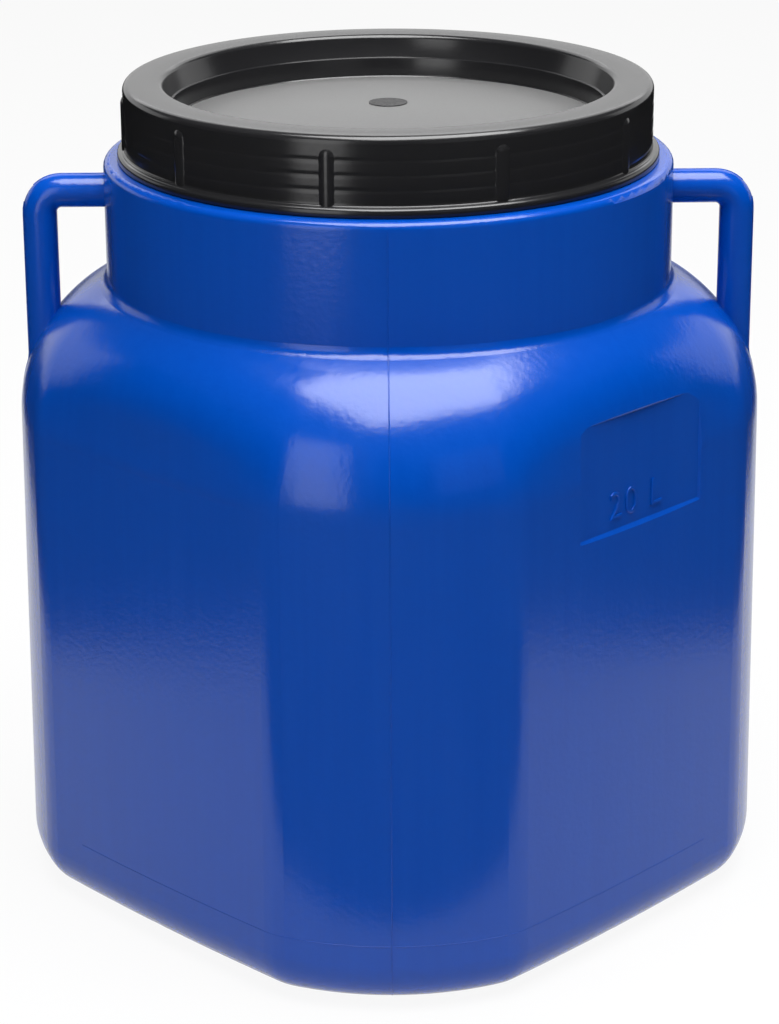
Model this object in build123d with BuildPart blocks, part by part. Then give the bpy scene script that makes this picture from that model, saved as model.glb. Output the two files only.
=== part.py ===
"""A square plastic barrel with a wide neck, two carrying handles and a screw lid.

The body is blown in one piece: four flat sides, four broad rounded corners, a round collar and a narrower
threaded neck above it. Both handles are hollow and open into the body. The lid is dished and carries grip ribs,
and a flat ring under its rim seals against the neck.

The origin is the middle of the base, +Z is up, the handles lie along X and a corner faces -Y.
"""

import os
from math import acos, atan2, cos, degrees, hypot, radians, sin, sqrt

from build123d import *

os.makedirs("parts", exist_ok=True)

# Body, in millimetres
body_width = 288.0  # across two flat sides, at the base
corner_bulge = 18.0  # how much further a corner's middle stands from the axis than a flat side
corner_flatness = 1.1637  # corner arc against the one that would run smoothly into the flat sides
edge_share = 0.2564  # rounding between a flat side and a corner arc, against the corner arc
side_radius = 1400.0  # the sides bow outwards by a little over a millimetre
side_lean = 0.5  # degrees by which the sides lean inwards
base_rounding = 20.0
wall = 2.5
crease_height = 268.0  # where the shoulder meets the collar
corner_shoulder = 61.7  # rounding of the shoulder above a corner
side_shoulder = 40.0  # rounding of the shoulder above a flat side
shoulder_sections = 10
shoulder_overlap = 3.7  # how far the shoulder runs on inside the collar
shoulder_square = 0.02  # squareness left at the crease, where the full square plan is 1
base_panel_margin = 34.0  # from the side to the raised panel under the base
base_panel_rise = 3.0
base_panel_blend = 15.0

# Collar and threaded neck
side_ledge = 22.75  # from the collar out to a flat side
collar_height = 53.4  # above the crease
collar_root = 20.0  # how far the collar runs down inside the shoulder
collar_edge = 3.0
crease_fillet = 5.0
crease_band = 1.5  # the crease stays this close to its height all the way round
neck_step = 13.95  # from the collar in to the neck
neck_wall = 2.8
neck_foot = 1.5  # fillet where the neck leaves the collar

# Handles
handle_thickness = 14.6
handle_wall = 2.4
handle_inset = 12.7  # from the corner's middle in to the middle of the upright
handle_drop = 15.6  # from the collar's top down to the middle of the level part
handle_bend = 9.4
handle_depth = 50.0  # the upright ends this far below the crease, inside the corner of the body

# Label recess on the side between +X and -Y
label_width = 77.5
label_height = 50.5
label_depth = 1.5
label_drop = 54.3  # from the crease down to its middle
label_shift = 2.0  # sideways, away from the front corner

# Lid
lid_height = 32.0
lid_wall = 2.5
lid_edge = 3.0
flange_width = 2.9
flange_height = 3.8
dish_inset = 15.2  # from the neck's outside in to the dish
dish_depth = 18.7
ledge_depth = 10.1
ledge_width = 1.0
dish_flare = 2.4  # how much wider the dish is at its mouth than at its ledge
dish_lip = 2.0
rib_count = 10
rib_width = 6.0
rib_height = 0.9
rib_start = -67.1  # degrees from +X to the first rib to the right of the front corner
rib_top_gap = 5.4

# Seal and clearances
seal_thickness = 3.0
seal_inset = 1.6  # from the wall of the dish out to the ring
seal_gap = 0.2
lid_gap = 0.3
thread_room = 2.5  # between the neck and the lid's skirt, for the threads
open_end = 1.0  # how far the lid's inside is cut past its open end

# Worked out from the above
flat_reach = body_width / 2
corner_reach = flat_reach + corner_bulge
diagonal = cos(radians(45))
corner_radius = corner_flatness * (flat_reach - diagonal * corner_reach) / (1 - diagonal)
corner_centre = corner_reach - corner_radius
edge_blend = edge_share * corner_radius
lean = sin(radians(side_lean))
collar_radius = flat_reach - side_ledge
collar_inside = collar_radius - wall
collar_top = crease_height + collar_height
collar_foot = crease_height - collar_root
neck_radius = collar_radius - neck_step
mouth_radius = neck_radius - neck_wall
handle_reach = corner_reach - handle_inset
handle_height = collar_top - handle_drop
handle_foot = crease_height - handle_depth
label_middle = crease_height - label_drop
skirt_inside = neck_radius + thread_room
lid_radius = skirt_inside + lid_wall
flange_radius = lid_radius + flange_width
lid_base = collar_top + lid_gap
lid_top = lid_base + lid_height
dish_radius = neck_radius - dish_inset
dish_floor = lid_top - dish_depth
dish_ledge = lid_top - ledge_depth
dish_mouth = dish_radius + ledge_width + dish_flare
seal_top = lid_top - lid_wall - seal_gap
neck_top = seal_top - seal_thickness - seal_gap


def circle_crossing(gap, reach_a, reach_b):
    """Where two circles cross, along and beside the line that joins their centres."""
    along = (reach_a**2 - reach_b**2 + gap**2) / (2 * gap)
    return along, sqrt(reach_a**2 - along**2)


def plan_outline(side, corner, side_arc, corner_arc, blend):
    """The closed outline of the body seen from above, as sixteen arcs that run smoothly into each other."""
    side_x = (side - side_arc) * diagonal
    corner_x = corner - corner_arc
    gap = hypot(corner_x - side_x, side_x)
    along, beside = circle_crossing(gap, side_arc - blend, corner_arc - blend)
    ahead_x, ahead_y = (corner_x - side_x) / gap, -side_x / gap
    blend_x = side_x + along * ahead_x + beside * ahead_y
    blend_y = side_x + along * ahead_y - beside * ahead_x
    corner_turn = degrees(atan2(blend_y, blend_x - corner_x))
    side_turn = degrees(atan2(blend_y - side_x, blend_x - side_x))
    for quarter in range(4):
        turn = 90 * quarter

        def around(x, y):
            return Vector(x, y).rotate(Axis.Z, turn)

        CenterArc(around(corner_x, 0), corner_arc, turn - corner_turn, 2 * corner_turn)
        CenterArc(around(blend_x, blend_y), blend, turn + corner_turn, side_turn - corner_turn)
        CenterArc(around(side_x, side_x), side_arc, turn + side_turn, 90 - 2 * side_turn)
        CenterArc(around(blend_y, blend_x), blend, turn + 90 - side_turn, side_turn - corner_turn)


def wall_reach(base_reach, height):
    """How far a leaning wall stands from the axis at a height."""
    return base_reach - height * lean


def shoulder_circle(base_reach, rounding):
    """Middle of the shoulder's rounding above a wall, so that it meets the collar at the crease."""
    middle = wall_reach(base_reach, crease_height - rounding) - rounding
    return middle, crease_height - sqrt(rounding**2 - (collar_radius - middle) ** 2)


corner_middle, corner_spring = shoulder_circle(corner_reach, corner_shoulder)
side_middle, side_spring = shoulder_circle(flat_reach, side_shoulder)


def shoulder_reach(base_reach, middle, spring, rounding, height, inset):
    """How far the shoulder, or its inside, stands from the axis at a height."""
    if height < spring:
        return wall_reach(base_reach, height) - inset
    return middle + sqrt(max((rounding - inset) ** 2 - (height - spring) ** 2, 0))


def body_section(height, inset):
    """The body's outline at a height as a flat face, drawn inwards by an inset, rounder and rounder up the shoulder."""
    corner = shoulder_reach(
        corner_reach, corner_middle, corner_spring, corner_shoulder, height, inset
    )
    side = shoulder_reach(flat_reach, side_middle, side_spring, side_shoulder, height, inset)
    side = min(side, corner)
    square = max((corner - side) / (corner_reach - flat_reach), shoulder_square)
    corner = max(corner, side + square * (corner_reach - flat_reach))
    narrower = inset + height * lean
    side_arc = 1 / ((1 - square) / side + square / (side_radius - narrower))
    blend = 1 / ((1 - square) / side + square / (edge_blend - narrower))
    with BuildSketch(Plane.XY.offset(height)) as section:
        with BuildLine():
            plan_outline(side, corner, side_arc, corner - square * corner_centre, blend)
        make_face()
    return section.sketch


def body_form(floor, inset):
    """The square body up to the top of its shoulder, solid, drawn inwards by an inset."""
    loft([body_section(height, inset) for height in (floor, corner_spring)], ruled=True)
    fillet(edges().group_by(Axis.Z)[0], base_rounding - inset)
    top_turn = acos((collar_radius - shoulder_overlap - corner_middle) / corner_shoulder)
    turns = [top_turn * step / (shoulder_sections - 1) for step in range(shoulder_sections)]
    rises = [(corner_shoulder - inset) * sin(turn) for turn in turns]
    loft([body_section(corner_spring + rise, inset) for rise in rises])


def base_panel(rise, margin):
    """The raised panel under the base, with its edge sloping in at 45 degrees."""
    faces = []
    for height in (0, rise):
        drawn_in = margin + height
        with BuildSketch(Plane.XY.offset(height)) as panel:
            with BuildLine():
                plan_outline(
                    flat_reach - drawn_in,
                    corner_reach - drawn_in,
                    side_radius - drawn_in,
                    corner_radius - drawn_in,
                    base_panel_blend - height,
                )
            make_face()
        faces.append(panel.sketch)
    loft(faces, ruled=True, mode=Mode.SUBTRACT)


def handle_run(thickness, start, foot):
    """A round bar along one handle's middle line, from the collar outwards, round the bend and down."""
    with BuildPart() as run:
        with BuildLine(Plane.XZ) as middle_line:
            FilletPolyline(
                (start, handle_height),
                (handle_reach, handle_height),
                (handle_reach, foot),
                radius=handle_bend,
            )
        with BuildSketch(Plane.YZ.offset(start)):
            with Locations((0, handle_height)):
                Circle(thickness / 2)
        sweep(path=middle_line.wires()[0])
        mirror(about=Plane.YZ)
    return run.part


# Everything inside the body: its cavity, the collar, the mouth and the bores of the handles
label_plane = Plane(
    origin=Vector(wall_reach(flat_reach, label_middle), 0, label_middle).rotate(Axis.Z, -45),
    x_dir=Vector(0, 1, 0).rotate(Axis.Z, -45),
    z_dir=Vector(cos(radians(side_lean)), 0, sin(radians(side_lean))).rotate(Axis.Z, -45),
)
slope_wall = wall * sqrt(2)  # sideways thickness of the wall on the panel's 45 degree slope

with BuildPart() as body_inside:
    body_form(wall, wall)
    with BuildSketch(Plane.XZ):
        with BuildLine():
            Polyline(
                (0, collar_foot),
                (collar_inside, collar_foot),
                (collar_inside, collar_top - wall),
                (mouth_radius, collar_top - wall),
                (mouth_radius, neck_top + wall),
                (0, neck_top + wall),
                close=True,
            )
        make_face()
    revolve(axis=Axis.Z)
    with BuildSketch(label_plane.offset(-label_depth - wall)):
        with Locations((label_shift, 0)):
            Rectangle(label_width, label_height)
    extrude(amount=label_depth + wall, mode=Mode.SUBTRACT)
    base_panel(base_panel_rise + wall, base_panel_margin - slope_wall)
    add(handle_run(handle_thickness - 2 * handle_wall, collar_inside - wall, handle_foot))

# One-piece body: square form, collar, neck and handles, with everything inside taken out
with BuildPart() as barrel_body:
    body_form(0, 0)
    with BuildSketch(Plane.XZ):
        with BuildLine():
            Polyline(
                (0, collar_foot),
                (collar_radius, collar_foot),
                (collar_radius, collar_top),
                (neck_radius, collar_top),
                (neck_radius, neck_top),
                (0, neck_top),
                close=True,
            )
        make_face()
    revolve(axis=Axis.Z)
    collar_rings = edges().filter_by(GeomType.CIRCLE).group_by(Axis.Z)[-2]
    fillet(collar_rings.sort_by(SortBy.RADIUS)[-1], collar_edge)
    fillet(collar_rings.sort_by(SortBy.RADIUS)[0], neck_foot)
    crease_low, crease_high = crease_height - crease_band, crease_height + crease_band
    fillet(edges().filter_by_position(Axis.Z, crease_low, crease_high), crease_fillet)
    add(handle_run(handle_thickness, collar_inside, handle_foot))
    with BuildSketch(label_plane.offset(-label_depth)):
        with Locations((label_shift, 0)):
            Rectangle(label_width - 2 * label_depth, label_height - 2 * label_depth)
    extrude(amount=2 * label_depth, taper=-45, mode=Mode.SUBTRACT)
    base_panel(base_panel_rise, base_panel_margin)
    add(body_inside.part, mode=Mode.SUBTRACT)
barrel_body.part.label = "barrel_body"
export_step(barrel_body.part, "parts/barrel_body.step")

# Screw lid: a dished top, a skirt with a flange, and grip ribs; the inside is taken out last
rib_round = (rib_width**2 / 4 + rib_height**2) / (2 * rib_height)
rib_reach = lid_radius + rib_height - rib_round
rib_top = lid_top - rib_top_gap - rib_width / 2

with BuildPart() as screw_lid:
    with BuildSketch(Plane.XZ):
        with BuildLine():
            Polyline(
                (0, lid_base),
                (flange_radius, lid_base),
                (flange_radius, lid_base + flange_height),
                (lid_radius, lid_base + flange_height),
                (lid_radius, lid_top),
                (dish_mouth, lid_top),
                (dish_radius + ledge_width, dish_ledge),
                (dish_radius, dish_ledge),
                (dish_radius, dish_floor),
                (0, dish_floor),
                close=True,
            )
        make_face()
    revolve(axis=Axis.Z)
    top_rings = edges().filter_by(GeomType.CIRCLE).group_by(Axis.Z)[-1]
    fillet(top_rings.sort_by(SortBy.RADIUS)[-1], lid_edge)
    fillet(top_rings.sort_by(SortBy.RADIUS)[0], dish_lip)
    with PolarLocations(rib_reach, rib_count, start_angle=rib_start):
        with Locations((0, 0, lid_base + flange_height / 2)):
            Cylinder(
                rib_round,
                rib_top - lid_base - flange_height / 2,
                align=(Align.CENTER, Align.CENTER, Align.MIN),
            )
        with Locations((0, 0, rib_top)):
            Sphere(rib_round)
    with BuildSketch(Plane.XZ):
        with BuildLine():
            Polyline(
                (0, lid_base - open_end),
                (skirt_inside, lid_base - open_end),
                (skirt_inside, lid_top - lid_wall),
                (dish_mouth + lid_wall, lid_top - lid_wall),
                (dish_radius + lid_wall, dish_ledge - lid_wall),
                (dish_radius + lid_wall, dish_floor - lid_wall),
                (0, dish_floor - lid_wall),
                close=True,
            )
        make_face()
    revolve(axis=Axis.Z, mode=Mode.SUBTRACT)
screw_lid.part.label = "screw_lid"
export_step(screw_lid.part, "parts/screw_lid.step")

# Flat sealing ring, held under the lid's rim and pressed on the neck
with BuildPart() as lid_seal:
    with BuildSketch(Plane.XY.offset(seal_top - seal_thickness)):
        Circle(skirt_inside - seal_gap)
        Circle(dish_mouth + lid_wall + seal_inset, mode=Mode.SUBTRACT)
    extrude(amount=seal_thickness)
lid_seal.part.label = "lid_seal"
export_step(lid_seal.part, "parts/lid_seal.step")
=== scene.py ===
"""The finish of a square plastic barrel with a screw lid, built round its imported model.

Lengths are in metres.
"""

import math

import bpy
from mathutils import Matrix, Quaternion, Vector


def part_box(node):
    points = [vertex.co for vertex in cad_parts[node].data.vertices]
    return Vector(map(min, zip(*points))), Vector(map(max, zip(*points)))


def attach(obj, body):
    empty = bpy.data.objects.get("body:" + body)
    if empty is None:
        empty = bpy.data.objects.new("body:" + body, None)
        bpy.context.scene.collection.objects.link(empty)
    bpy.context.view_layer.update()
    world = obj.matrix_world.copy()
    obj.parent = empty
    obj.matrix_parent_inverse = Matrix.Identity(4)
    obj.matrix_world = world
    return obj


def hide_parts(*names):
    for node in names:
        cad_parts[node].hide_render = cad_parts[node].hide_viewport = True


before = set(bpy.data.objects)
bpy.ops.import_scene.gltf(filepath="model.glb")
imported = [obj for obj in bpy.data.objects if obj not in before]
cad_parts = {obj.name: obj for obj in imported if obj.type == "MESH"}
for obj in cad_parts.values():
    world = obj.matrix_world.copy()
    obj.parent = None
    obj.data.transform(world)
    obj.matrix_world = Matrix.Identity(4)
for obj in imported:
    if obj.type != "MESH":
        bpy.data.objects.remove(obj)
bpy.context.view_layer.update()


# Barrel body
# The body is blown in one piece from blue high-density polyethylene: square form, collar, threaded neck
# and both hollow handles. Its skin is satin, with faint lines down it where the soft tube was drawn.
body_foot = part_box("barrel_body")[0].z


def skin_group():
    """Fine relief that every moulded skin here has: soft orange peel and flow lines along Z."""
    group = bpy.data.node_groups.new("moulded_skin", "ShaderNodeTree")
    socket = group.interface.new_socket
    peel_size = socket("Peel Scale", in_out="INPUT", socket_type="NodeSocketFloat")
    peel_size.default_value = 260.0
    flow_size = socket("Flow Scale", in_out="INPUT", socket_type="NodeSocketFloat")
    flow_size.default_value = 180.0
    flow_share = socket("Flow Share", in_out="INPUT", socket_type="NodeSocketFloat")
    flow_share.default_value = 0.5
    socket("Height", in_out="OUTPUT", socket_type="NodeSocketFloat")
    socket("Flow", in_out="OUTPUT", socket_type="NodeSocketFloat")
    nodes, links = group.nodes, group.links
    inputs = nodes.new("NodeGroupInput")
    outputs = nodes.new("NodeGroupOutput")
    place = nodes.new("ShaderNodeTexCoord")
    drawn_out = nodes.new("ShaderNodeMapping")
    drawn_out.inputs["Scale"].default_value = (1.0, 1.0, 0.03)
    peel = nodes.new("ShaderNodeTexNoise")
    peel.inputs["Detail"].default_value = 3.0
    flow = nodes.new("ShaderNodeTexNoise")
    flow.inputs["Detail"].default_value = 2.0
    both = nodes.new("ShaderNodeMix")
    links.new(place.outputs["Object"], peel.inputs["Vector"])
    links.new(inputs.outputs["Peel Scale"], peel.inputs["Scale"])
    links.new(place.outputs["Object"], drawn_out.inputs["Vector"])
    links.new(drawn_out.outputs["Vector"], flow.inputs["Vector"])
    links.new(inputs.outputs["Flow Scale"], flow.inputs["Scale"])
    links.new(inputs.outputs["Flow Share"], both.inputs["Factor"])
    links.new(peel.outputs["Fac"], both.inputs["A"])
    links.new(flow.outputs["Fac"], both.inputs["B"])
    links.new(both.outputs["Result"], outputs.inputs["Height"])
    links.new(flow.outputs["Fac"], outputs.inputs["Flow"])
    return group


moulded_skin = skin_group()


def new_material(name):
    """A material with its Principled shader, nodes and links."""
    material = bpy.data.materials.new(name)
    material.use_nodes = True
    tree = material.node_tree
    return material, tree.nodes["Principled BSDF"], tree.nodes, tree.links


def skin_node(nodes, peel_scale, flow_scale, flow_share):
    """The moulded skin placed in a material with that material's own values."""
    skin = nodes.new("ShaderNodeGroup")
    skin.node_tree = moulded_skin
    skin.inputs["Peel Scale"].default_value = peel_scale
    skin.inputs["Flow Scale"].default_value = flow_scale
    skin.inputs["Flow Share"].default_value = flow_share
    return skin


def bump_from(nodes, links, height, distance, shader):
    """Relief of a real depth, from a height between 0 and 1."""
    bump = nodes.new("ShaderNodeBump")
    bump.inputs["Distance"].default_value = distance
    links.new(height, bump.inputs["Height"])
    links.new(bump.outputs["Normal"], shader.inputs["Normal"])


def ranged(nodes, links, value, low, high):
    """A value between 0 and 1 spread between two others."""
    spread = nodes.new("ShaderNodeMapRange")
    spread.inputs["To Min"].default_value = low
    spread.inputs["To Max"].default_value = high
    links.new(value, spread.inputs["Value"])
    return spread.outputs["Result"]


def blue_polyethylene():
    """Satin blue polyethylene with a little unevenness of colour and gloss along the flow lines."""
    material, shader, nodes, links = new_material("blue_polyethylene")
    skin = skin_node(nodes, 420.0, 240.0, 0.3)
    tone = nodes.new("ShaderNodeMix")
    tone.data_type = "RGBA"
    tone.inputs["A"].default_value = (0.0, 0.050, 0.345, 1.0)
    tone.inputs["B"].default_value = (0.0, 0.058, 0.380, 1.0)
    links.new(skin.outputs["Flow"], tone.inputs["Factor"])
    links.new(tone.outputs["Result"], shader.inputs["Base Color"])
    links.new(ranged(nodes, links, skin.outputs["Flow"], 0.16, 0.23), shader.inputs["Roughness"])
    shader.inputs["Specular IOR Level"].default_value = 0.4
    bump_from(nodes, links, skin.outputs["Height"], 0.00011, shader)
    return material


blue_plastic = blue_polyethylene()
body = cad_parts["barrel_body"]
body.data.materials.clear()
body.data.materials.append(blue_plastic)


# Screw lid
# The lid is injection moulded from black polypropylene: a dished top, a skirt with a thin flange at its
# foot, and ten grip ribs. The thread inside has sunk the skirt in by a hair along its turns.
lid_low, lid_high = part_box("screw_lid")
thread_pitch = 0.006
flange_radius = lid_high.x
flange_width = 0.0029
flange_height = 0.0038
lid_radius = flange_radius - flange_width
dish_radius = 0.0921
dish_depth = 0.0187
dish_crown = 0.008
ledge_depth = 0.0101
ledge_width = 0.001
dish_flare = 0.0024
dish_mouth = dish_radius + ledge_width + dish_flare
lid_wall = 0.0025
skirt_inside = 0.1098
skirt_rings = 48
dish_rings = 24
turn_steps = 256
hair = 1e-5


def outline_of(name, corners):
    """A row of points in the plane y = 0, joined one after another, as an object of its own."""
    bpy.ops.object.select_all(action="DESELECT")
    bpy.ops.mesh.primitive_plane_add(size=0.01)
    piece = bpy.context.object
    piece.name = name
    bpy.ops.object.mode_set(mode="EDIT")
    bpy.ops.mesh.select_mode(type="VERT")
    bpy.ops.mesh.merge(type="CENTER")
    points = [Vector((reach, 0.0, height)) for reach, height in corners]
    bpy.ops.transform.translate(value=points[0])
    for here, there in zip(points, points[1:]):
        bpy.ops.mesh.extrude_vertices_move(TRANSFORM_OT_translate={"value": there - here})
    bpy.ops.object.mode_set(mode="OBJECT")
    return piece


def select_points(piece, wanted):
    """Selects the vertices that a test on their place accepts, and enters edit mode."""
    bpy.ops.object.mode_set(mode="OBJECT")
    for part in (piece.data.vertices, piece.data.edges, piece.data.polygons):
        part.foreach_set("select", [False] * len(part))
    for point in piece.data.vertices:
        point.select = wanted(point.co)
    bpy.ops.object.mode_set(mode="EDIT")
    bpy.ops.mesh.select_mode(type="VERT")


def round_corner(piece, reach, height, radius, segments):
    """Rounds one corner of an outline."""
    select_points(piece, lambda place: math.hypot(place.x - reach, place.z - height) < hair)
    bpy.ops.mesh.bevel(offset=radius, segments=segments, affect="VERTICES")
    bpy.ops.object.mode_set(mode="OBJECT")


def spin_round(piece, steps):
    """Spins an outline once round the axis into a closed shape whose faces point outwards."""
    bpy.ops.object.mode_set(mode="EDIT")
    bpy.ops.mesh.select_all(action="SELECT")
    bpy.ops.mesh.spin(steps=steps, angle=2 * math.pi, center=(0, 0, 0), axis=(0, 0, 1))
    bpy.ops.mesh.select_all(action="SELECT")
    bpy.ops.mesh.remove_doubles(threshold=1e-6)
    bpy.ops.mesh.normals_make_consistent(inside=False)
    bpy.ops.object.mode_set(mode="OBJECT")


def finish_piece(piece, material, body_name, smooth_angle=30):
    """Gives a piece its finish, its smooth shading and the body that it moves with."""
    bpy.ops.object.select_all(action="DESELECT")
    piece.select_set(True)
    bpy.context.view_layer.objects.active = piece
    bpy.ops.object.transform_apply(location=True, rotation=True, scale=True)
    bpy.ops.object.shade_smooth_by_angle(angle=math.radians(smooth_angle))
    piece.data.materials.clear()
    piece.data.materials.append(material)
    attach(piece, body_name)


def lid_outline():
    """Half the lid's section, from the middle of the dish round the skirt and back under the dish."""
    top, foot = lid_high.z, lid_low.z
    dish_floor, ledge = top - dish_depth, top - ledge_depth
    corners = [
        (0.0, dish_floor),
        (dish_radius, dish_floor),
        (dish_radius, ledge),
        (dish_radius + ledge_width, ledge),
        (dish_mouth, top),
        (lid_radius, top),
        (lid_radius, foot + flange_height),
        (flange_radius, foot + flange_height),
        (flange_radius, foot),
        (skirt_inside, foot),
        (skirt_inside, top - lid_wall),
        (dish_mouth + lid_wall, top - lid_wall),
        (dish_radius + lid_wall, ledge - lid_wall),
        (dish_radius + lid_wall, dish_floor - lid_wall),
        (0.0, dish_floor - lid_wall),
    ]
    outline = outline_of("lid_shell", corners)
    outer_rim, inner_rim, flange_edge, hollow, fine = 0.003, 0.002, 0.0018, 0.001, 0.0004
    round_corner(outline, lid_radius, top, outer_rim, 8)
    round_corner(outline, dish_mouth, top, inner_rim, 6)
    round_corner(outline, dish_radius + ledge_width, ledge, fine, 2)
    round_corner(outline, dish_radius, ledge, fine, 2)
    round_corner(outline, dish_radius, dish_floor, hollow, 4)
    round_corner(outline, lid_radius, foot + flange_height, hollow, 4)
    round_corner(outline, flange_radius, foot + flange_height, flange_edge, 6)
    round_corner(outline, flange_radius, foot, fine, 2)
    return outline


def add_skirt_rings(piece, rings):
    """Divides the tall outside of the skirt, so that it can follow the thread's marks."""
    select_points(piece, lambda place: abs(place.x - lid_radius) < hair)
    bpy.ops.mesh.subdivide(number_cuts=rings)
    bpy.ops.object.mode_set(mode="OBJECT")


def crown_dish(piece, rings):
    """Divides the dish's floor and underside, and raises them towards the middle as a shallow dome."""
    floor = lid_high.z - dish_depth
    for height in (floor, floor - lid_wall):
        select_points(piece, lambda place: abs(place.z - height) < hair)
        bpy.ops.mesh.subdivide(number_cuts=rings)
        bpy.ops.object.mode_set(mode="OBJECT")
        for point in piece.data.vertices:
            if abs(point.co.z - height) < hair and point.co.x < dish_radius:
                point.co.z += dish_crown * (1 - (point.co.x / dish_radius) ** 2)


lid = lid_outline()
add_skirt_rings(lid, skirt_rings)
crown_dish(lid, dish_rings)
spin_round(lid, turn_steps)

sink_depth = 0.00013
plain_above, plain_below = 0.0065, 0.0015
sink_top = lid_high.z - plain_above
sink_foot = lid_low.z + flange_height + plain_below
for point in lid.data.vertices:
    place = point.co
    reach = math.hypot(place.x, place.y)
    if abs(reach - lid_radius) < hair and sink_foot < place.z < sink_top:
        turn = math.atan2(place.y, place.x) / (2 * math.pi)
        phase = (place.z - lid_low.z) / thread_pitch - turn
        dip = max(0.0, math.cos(2 * math.pi * phase)) ** 2
        point.co.x *= 1 - sink_depth * dip / reach
        point.co.y *= 1 - sink_depth * dip / reach

rib_count = 10
rib_width = 0.006
rib_height = 0.0009
rib_round = (rib_width**2 / 4 + rib_height**2) / (2 * rib_height)
rib_start = math.radians(-67.1)
rib_gap = 0.0054
rib_top = lid_high.z - rib_gap - rib_width / 2
rib_foot = lid_low.z + flange_height / 2


def grip_rib(turn):
    """One domed rib: a round bar that ends in a ball at its top, mostly sunk in the skirt."""
    bpy.ops.object.select_all(action="DESELECT")
    bpy.ops.mesh.primitive_uv_sphere_add(
        segments=64,
        ring_count=32,
        radius=rib_round,
        location=(lid_radius + rib_height - rib_round, 0, rib_top),
    )
    rib = bpy.context.object
    bpy.ops.object.transform_apply(location=True)
    select_points(rib, lambda place: place.z < rib_top - hair)
    bpy.ops.mesh.delete(type="VERT")
    select_points(rib, lambda place: place.z < rib_top + hair)
    bpy.ops.mesh.extrude_region_move(TRANSFORM_OT_translate={"value": (0, 0, rib_foot - rib_top)})
    bpy.ops.mesh.edge_face_add()
    bpy.ops.mesh.select_all(action="SELECT")
    bpy.ops.mesh.normals_make_consistent(inside=False)
    bpy.ops.object.mode_set(mode="OBJECT")
    rib.rotation_euler.z = turn
    bpy.ops.object.transform_apply(rotation=True)
    return rib


def join_onto(piece, addition):
    """Fuses a second closed shape with a piece, as one moulding."""
    bpy.ops.object.select_all(action="DESELECT")
    piece.select_set(True)
    bpy.context.view_layer.objects.active = piece
    union = piece.modifiers.new("union", "BOOLEAN")
    union.operation = "UNION"
    union.solver = "EXACT"
    union.object = addition
    bpy.ops.object.modifier_apply(modifier="union")
    bpy.data.objects.remove(addition)


for number in range(rib_count):
    join_onto(lid, grip_rib(rib_start + 2 * math.pi * number / rib_count))


def black_polypropylene():
    """Black polypropylene off a polished tool, with a gloss that is a little uneven."""
    material, shader, nodes, links = new_material("black_polypropylene")
    skin = skin_node(nodes, 420.0, 260.0, 0.3)
    shader.inputs["Base Color"].default_value = (0.012, 0.012, 0.013, 1.0)
    links.new(ranged(nodes, links, skin.outputs["Height"], 0.15, 0.25), shader.inputs["Roughness"])
    bump_from(nodes, links, skin.outputs["Height"], 0.00003, shader)
    return material


def grained_polypropylene():
    """The same plastic off the grained face that moulds the dish: dull, and pale at a low angle."""
    material, shader, nodes, links = new_material("grained_polypropylene")
    skin = skin_node(nodes, 1400.0, 500.0, 0.0)
    shader.inputs["Base Color"].default_value = (0.016, 0.016, 0.017, 1.0)
    shader.inputs["Sheen Weight"].default_value = 0.55
    shader.inputs["Sheen Roughness"].default_value = 0.55
    links.new(ranged(nodes, links, skin.outputs["Height"], 0.3, 0.5), shader.inputs["Roughness"])
    bump_from(nodes, links, skin.outputs["Height"], 0.00004, shader)
    return material


black_plastic = black_polypropylene()
finish_piece(lid, black_plastic, "lid")
lid.data.materials.append(grained_polypropylene())
grain_radius = dish_radius - 0.001
for face in lid.data.polygons:
    middle = face.center
    if math.hypot(middle.x, middle.y) < grain_radius and face.normal.z > 0.5:
        face.material_index = 1
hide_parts("screw_lid")


# Gate mark
# A low round pad in the middle of the dish, where the melt came into the mould. Its face is left rough
# so that the cut end of the gate doesn't show.
gate_radius = 0.0082
gate_rise = 0.00025
gate_edge, gate_slope, gate_hollow = 0.0006, 0.0022, 0.0036
dish_middle = lid_high.z - dish_depth + dish_crown
bpy.ops.object.select_all(action="DESELECT")
bpy.ops.mesh.primitive_cylinder_add(
    vertices=96, radius=gate_radius, depth=2 * gate_rise, location=(0, 0, dish_middle)
)
gate = bpy.context.object
gate.name = "gate_mark"
bpy.ops.object.transform_apply(location=True)
select_points(gate, lambda place: place.z > dish_middle)
bpy.ops.mesh.inset(thickness=gate_edge)
bpy.ops.mesh.inset(thickness=gate_slope)
bpy.ops.transform.translate(value=(0, 0, -gate_rise / 2))
bpy.ops.mesh.inset(thickness=gate_hollow)
bpy.ops.transform.translate(value=(0, 0, gate_rise))
bpy.ops.object.mode_set(mode="OBJECT")


def rough_polypropylene():
    """The lid's plastic off a spark-eroded face of the mould: coarse, dull and uneven."""
    material, shader, nodes, links = new_material("rough_polypropylene")
    skin = skin_node(nodes, 900.0, 500.0, 0.0)
    shader.inputs["Base Color"].default_value = (0.010, 0.010, 0.011, 1.0)
    links.new(ranged(nodes, links, skin.outputs["Height"], 0.25, 0.75), shader.inputs["Roughness"])
    bump_from(nodes, links, skin.outputs["Height"], 0.0009, shader)
    return material


finish_piece(gate, rough_polypropylene(), "lid")


# Threads
# One round-topped ridge winds up the neck, and another winds inside the lid's skirt half a pitch away
# from it. Both are moulded with their carriers and run out smoothly at their ends.
neck_radius = 0.1073
ridge_depth = 0.0019
ridge_width = 0.0036
ridge_root = 0.0004
ridge_round = 0.0004
ridge_turns = 2.4
run_out = math.radians(24)
least_share = 0.15
steps_a_turn = 180


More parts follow.
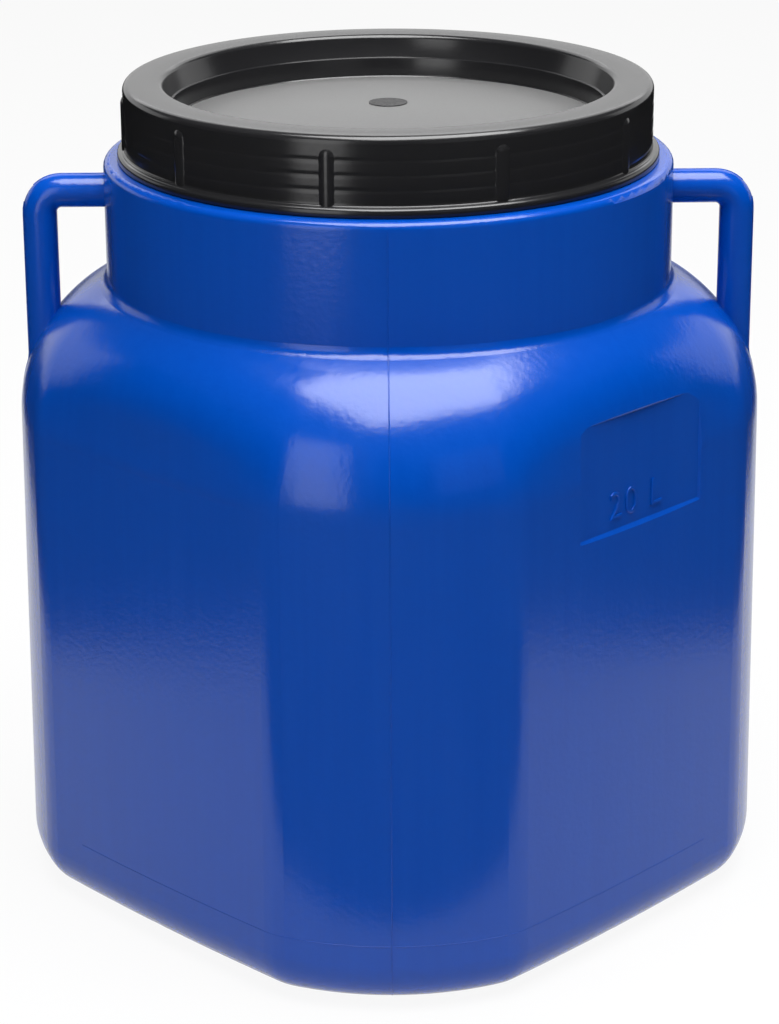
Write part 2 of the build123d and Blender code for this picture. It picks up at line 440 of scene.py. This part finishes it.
def thread_ridge(name, root, rise, foot, material, body_name, slot):
    """A ridge that winds up from its foot. It stands out of the root by the rise, inwards if negative."""
    sunk = root - math.copysign(ridge_root, rise)
    half = ridge_width / 2
    crest = root + rise
    corners = [
        (sunk, foot - half),
        (root, foot - half),
        (crest, foot - half / 3),
        (crest, foot + half / 3),
        (root, foot + half),
        (sunk, foot + half),
    ]
    ridge = outline_of(name, corners)
    for height in (foot - half / 3, foot + half / 3):
        round_corner(ridge, crest, height, ridge_round, 2)
    bpy.ops.object.mode_set(mode="EDIT")
    bpy.ops.mesh.select_all(action="SELECT")
    bpy.ops.mesh.edge_face_add()
    bpy.ops.mesh.delete(type="ONLY_FACE")
    bpy.ops.object.mode_set(mode="OBJECT")
    winding = ridge.modifiers.new("winding", "SCREW")
    winding.angle = 2 * math.pi * ridge_turns
    winding.screw_offset = thread_pitch * ridge_turns
    winding.steps = winding.render_steps = int(steps_a_turn * ridge_turns)
    bpy.ops.object.modifier_apply(modifier="winding")
    for point in ridge.data.vertices:
        climb = (point.co.z - foot) / thread_pitch * 2 * math.pi
        left = min(climb, 2 * math.pi * ridge_turns - climb)
        share = max(0.0, min(1.0, left / run_out))
        reach = math.hypot(point.co.x, point.co.y)
        beyond = reach - sunk
        drawn_in = (sunk + beyond * (least_share + (1 - least_share) * share)) / reach
        point.co.x *= drawn_in
        point.co.y *= drawn_in
    bpy.ops.object.mode_set(mode="EDIT")
    bpy.ops.mesh.select_all(action="SELECT")
    bpy.ops.mesh.fill_holes(sides=0)
    bpy.ops.mesh.normals_make_consistent(inside=False)
    bpy.ops.object.mode_set(mode="OBJECT")
    finish_piece(ridge, material, body_name)


thread_start = 0.0085
outside = (neck_radius, ridge_depth, lid_low.z + thread_start)
thread_ridge("neck_thread", *outside, blue_plastic, "barrel", "body_plastic")
inside = (skirt_inside, -ridge_depth, lid_low.z + thread_start - thread_pitch / 2)
thread_ridge("lid_thread", *inside, black_plastic, "lid", "lid_plastic")


# Mould lines
# The mould's parts meet in the plane of the handles and across it, and its base is an insert. Each joint
# leaves a fine raised line on the skin.
line_radius = 0.0003
line_steps = 400
handle_line_steps = 60
far_out = 0.3


def mould_line(name, start, end, axis, positive, radius=line_radius, cuts=line_steps):
    """The raised line that a straight run leaves where it falls along an axis on the body."""
    bpy.ops.object.select_all(action="DESELECT")
    bpy.ops.mesh.primitive_plane_add(size=0.01)
    line = bpy.context.object
    line.name = name
    bpy.ops.object.mode_set(mode="EDIT")
    bpy.ops.mesh.select_mode(type="VERT")
    bpy.ops.mesh.merge(type="CENTER")
    bpy.ops.transform.translate(value=start)
    run = Vector(end) - Vector(start)
    bpy.ops.mesh.extrude_vertices_move(TRANSFORM_OT_translate={"value": run})
    bpy.ops.mesh.select_all(action="SELECT")
    bpy.ops.mesh.subdivide(number_cuts=cuts)
    bpy.ops.object.mode_set(mode="OBJECT")
    fall = line.modifiers.new("fall", "SHRINKWRAP")
    fall.target = body
    fall.wrap_method = "PROJECT"
    setattr(fall, "use_project_" + axis, True)
    fall.use_positive_direction = positive
    fall.use_negative_direction = not positive
    bpy.ops.object.modifier_apply(modifier="fall")
    bpy.ops.object.convert(target="CURVE")
    line.data.bevel_depth = radius
    line.data.bevel_resolution = 2
    line.data.use_fill_caps = True
    bpy.ops.object.convert(target="MESH")
    finished_line = bpy.context.object
    finish_piece(finished_line, blue_plastic, "barrel", smooth_angle=60)


collar_top = 0.3214
line_top = collar_top - 0.003
line_foot = body_foot + 0.004
line_place = -0.0018
handle_start, bend_reach, bend_height = 0.1217, 0.1517, 0.3009
insert_height, insert_reach, insert_radius = 0.030, 0.135, 0.00014
for name, side in (("front", -1), ("back", 1)):
    far = side * far_out
    line_ends = [(line_place, far, height) for height in (line_top, line_foot)]
    mould_line(name + "_line", *line_ends, "y", side < 0)
    insert_ends = [(reach, far, insert_height) for reach in (-insert_reach, insert_reach)]
    mould_line(name + "_insert_line", *insert_ends, "y", side < 0, insert_radius)
for name, side in (("left", -1), ("right", 1)):
    far = side * far_out
    mould_line(name + "_line", (far, 0, bend_height), (far, 0, line_foot), "x", side < 0)
    handle_ends = [(side * reach, 0, 2 * far_out) for reach in (handle_start, bend_reach)]
    mould_line(name + "_handle_line", *handle_ends, "z", False, cuts=handle_line_steps)


# Capacity mark
# Plain raised figures and a unit letter in the sunk panel on the front right side. They were cut into the
# mould, so they are of the body's own plastic.
panel_floor_reach = 0.14079
side_lean = math.radians(0.5)
mark_turn = math.radians(45)
mark_start = -0.0178
mark_foot = 0.1945
mark_size = 0.0168
mark_rise = 0.0004
mark_rounding = 0.0003
mark_spacing = 1.15
bpy.ops.object.select_all(action="DESELECT")
bpy.ops.object.text_add(location=(0, 0, 0))
mark = bpy.context.object
mark.name = "capacity_mark"
mark.data.body = "20 L"
mark.data.size = mark_size
mark.data.extrude = mark_rise
mark.data.offset = -mark_rounding
mark.data.bevel_depth = mark_rounding
mark.data.bevel_resolution = 2
mark.data.space_character = mark_spacing
bpy.ops.object.convert(target="MESH")
mark = bpy.context.object
mark.rotation_euler = (math.pi / 2 - side_lean, 0, mark_turn)
mark.location = (
    panel_floor_reach * math.sin(mark_turn) + mark_start * math.cos(mark_turn),
    -panel_floor_reach * math.cos(mark_turn) + mark_start * math.sin(mark_turn),
    mark_foot,
)
bpy.ops.object.mode_set(mode="EDIT")
bpy.ops.mesh.select_all(action="SELECT")
bpy.ops.mesh.remove_doubles(threshold=1e-6)
bpy.ops.mesh.normals_make_consistent(inside=False)
bpy.ops.object.mode_set(mode="OBJECT")
finish_piece(mark, blue_plastic, "barrel")


# Sealing ring
# A flat ring punched from soft grey rubber sheet. It is held under the lid's rim, which presses it onto
# the neck.
def grey_rubber():
    """Dull pale grey rubber."""
    material, shader, nodes, links = new_material("grey_rubber")
    skin = skin_node(nodes, 900.0, 400.0, 0.0)
    shader.inputs["Base Color"].default_value = (0.5, 0.5, 0.48, 1.0)
    links.new(ranged(nodes, links, skin.outputs["Height"], 0.7, 0.9), shader.inputs["Roughness"])
    bump_from(nodes, links, skin.outputs["Height"], 0.00008, shader)
    return material


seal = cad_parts["lid_seal"]
seal.data.materials.clear()
seal.data.materials.append(grey_rubber())


# Floor, lamps and camera
# A pale floor and backdrop under soft studio light: a wide soft box overhead, one at each side in front
# and one behind. Black cards and a curtain that only reflections show are the dark parts of the studio.
paper_tone = 0.62
white_share = 0.92
floor_size = 60
backdrop_radius, backdrop_height = 29, 12


def white_for_the_eye(nodes, links, share):
    """How far a surface is lifted to white where the camera, a reflection or glass looks at it."""
    path = nodes.new("ShaderNodeLightPath")
    seen = nodes.new("ShaderNodeMath")
    seen.operation = "MAXIMUM"
    links.new(path.outputs["Is Camera Ray"], seen.inputs[0])
    links.new(path.outputs["Is Glossy Ray"], seen.inputs[1])
    seen_through = nodes.new("ShaderNodeMath")
    seen_through.operation = "MAXIMUM"
    links.new(seen.outputs[0], seen_through.inputs[0])
    links.new(path.outputs["Is Transmission Ray"], seen_through.inputs[1])
    factor = nodes.new("ShaderNodeMath")
    factor.operation = "MULTIPLY"
    factor.inputs[1].default_value = share
    links.new(seen_through.outputs[0], factor.inputs[0])
    return factor.outputs[0]


bpy.ops.object.select_all(action="DESELECT")
bpy.ops.mesh.primitive_plane_add(size=floor_size, location=(0, 0, 0))
floor = bpy.context.object
floor.name = "floor"
floor_material, lit, nodes, links = new_material("pale_floor")
lit.inputs["Base Color"].default_value = (paper_tone, paper_tone, paper_tone, 1.0)
lit.inputs["Roughness"].default_value = 0.9
lit.inputs["Specular IOR Level"].default_value = 0.0
glow = nodes.new("ShaderNodeEmission")
blend = nodes.new("ShaderNodeMixShader")
links.new(white_for_the_eye(nodes, links, white_share), blend.inputs["Fac"])
links.new(lit.outputs["BSDF"], blend.inputs[1])
links.new(glow.outputs["Emission"], blend.inputs[2])
links.new(blend.outputs["Shader"], nodes["Material Output"].inputs["Surface"])
floor.data.materials.append(floor_material)
bpy.ops.object.select_all(action="DESELECT")
bpy.ops.mesh.primitive_cylinder_add(
    vertices=96,
    radius=backdrop_radius,
    depth=backdrop_height,
    end_fill_type="NOTHING",
    location=(0, 0, backdrop_height / 2),
)
backdrop = bpy.context.object
backdrop.name = "backdrop"
backdrop.data.materials.append(floor_material)

world = bpy.data.worlds.new("studio")
bpy.context.scene.world = world
world.use_nodes = True
sky = world.node_tree.nodes["Background"]
sky.inputs["Color"].default_value = (1.0, 1.0, 1.0, 1.0)
sky.inputs["Strength"].default_value = 0.05


def soft_box(name, place, target, width, height, radiance):
    """A flat soft lamp of even brightness that faces a point on the object. White paper shines at 1."""
    data = bpy.data.lights.new(name, "AREA")
    data.shape = "RECTANGLE"
    data.size, data.size_y = width, height
    data.energy = math.pi * width * height * radiance
    lamp = bpy.data.objects.new(name, data)
    bpy.context.scene.collection.objects.link(lamp)
    lamp.location = place
    lamp.rotation_euler = (Vector(target) - Vector(place)).to_track_quat("-Z", "Y").to_euler()
    lamp.visible_camera = False


soft_box("overhead", (0.17, -0.3, 1.7), (0.02, -0.05, 0.3), 1.45, 1.15, 11.0)
soft_box("front_left", (-0.5, -0.95, 0.5), (0, 0, 0.4), 0.4, 0.86, 2.2)
soft_box("front_right", (0.5, -0.95, 0.5), (0, 0, 0.3), 0.5, 0.5, 0.2)
soft_box("behind", (0, 1.8, 1.6), (0, 0, 0.35), 2.6, 1.2, 1.6)

card_black, card_shader, nodes, links = new_material("card_black")
card_shader.inputs["Base Color"].default_value = (0.01, 0.01, 0.01, 1.0)
card_shader.inputs["Specular IOR Level"].default_value = 0.0


def only_reflected(card, name):
    """Makes a plain shape a black card that only reflections show."""
    card.name = name
    card.data.materials.append(card_black)
    card.visible_camera = False
    card.visible_diffuse = False
    card.visible_shadow = False
    card.visible_transmission = False


def dark_card(name, place, width, depth):
    """A black card on the floor beside the white sheet that the object stands on."""
    bpy.ops.object.select_all(action="DESELECT")
    bpy.ops.mesh.primitive_plane_add(size=1, location=place)
    card = bpy.context.object
    card.scale = (width, depth, 1)
    only_reflected(card, name)


sheet_front, sheet_side = 0.237, 0.43
card_size, card_height = 8.0, 0.002
dark_card("front_card", (0, -sheet_front - card_size / 2, card_height), 2 * card_size, card_size)
for side in (-1, 1):
    place = (side * (sheet_side + card_size / 2), card_size / 2 - sheet_front, card_height)
    dark_card("side_card", place, card_size, card_size)

curtain_radius, curtain_height, curtain_back = 8.2, 4.6, 3.4
bpy.ops.object.select_all(action="DESELECT")
bpy.ops.mesh.primitive_cylinder_add(
    vertices=72,
    radius=curtain_radius,
    depth=curtain_height,
    end_fill_type="NOTHING",
    location=(0, 0, curtain_height / 2),
)
curtain = bpy.context.object
select_points(curtain, lambda place: place.y > curtain_back)
bpy.ops.mesh.delete(type="VERT")
bpy.ops.object.mode_set(mode="OBJECT")
only_reflected(curtain, "dark_curtain")

camera_distance = 1.2378
camera_height = 0.6114
camera_turn = math.radians(-0.639)
camera_pitch = math.radians(17.746)
camera_roll = math.radians(-0.273)
bpy.ops.object.camera_add(
    location=(
        camera_distance * math.sin(camera_turn),
        -camera_distance * math.cos(camera_turn),
        camera_height,
    )
)
camera = bpy.context.object
camera.rotation_mode = "QUATERNION"
camera.rotation_quaternion = (
    Quaternion((0, 0, 1), camera_turn)
    @ Quaternion((1, 0, 0), math.pi / 2 - camera_pitch)
    @ Quaternion((0, 0, 1), camera_roll)
)
camera.data.sensor_width = 36
camera.data.lens = 104.48
camera.data.shift_y = -0.120
camera.data.clip_end = 200
bpy.context.scene.camera = camera
bpy.context.scene.view_settings.view_transform = "Standard"
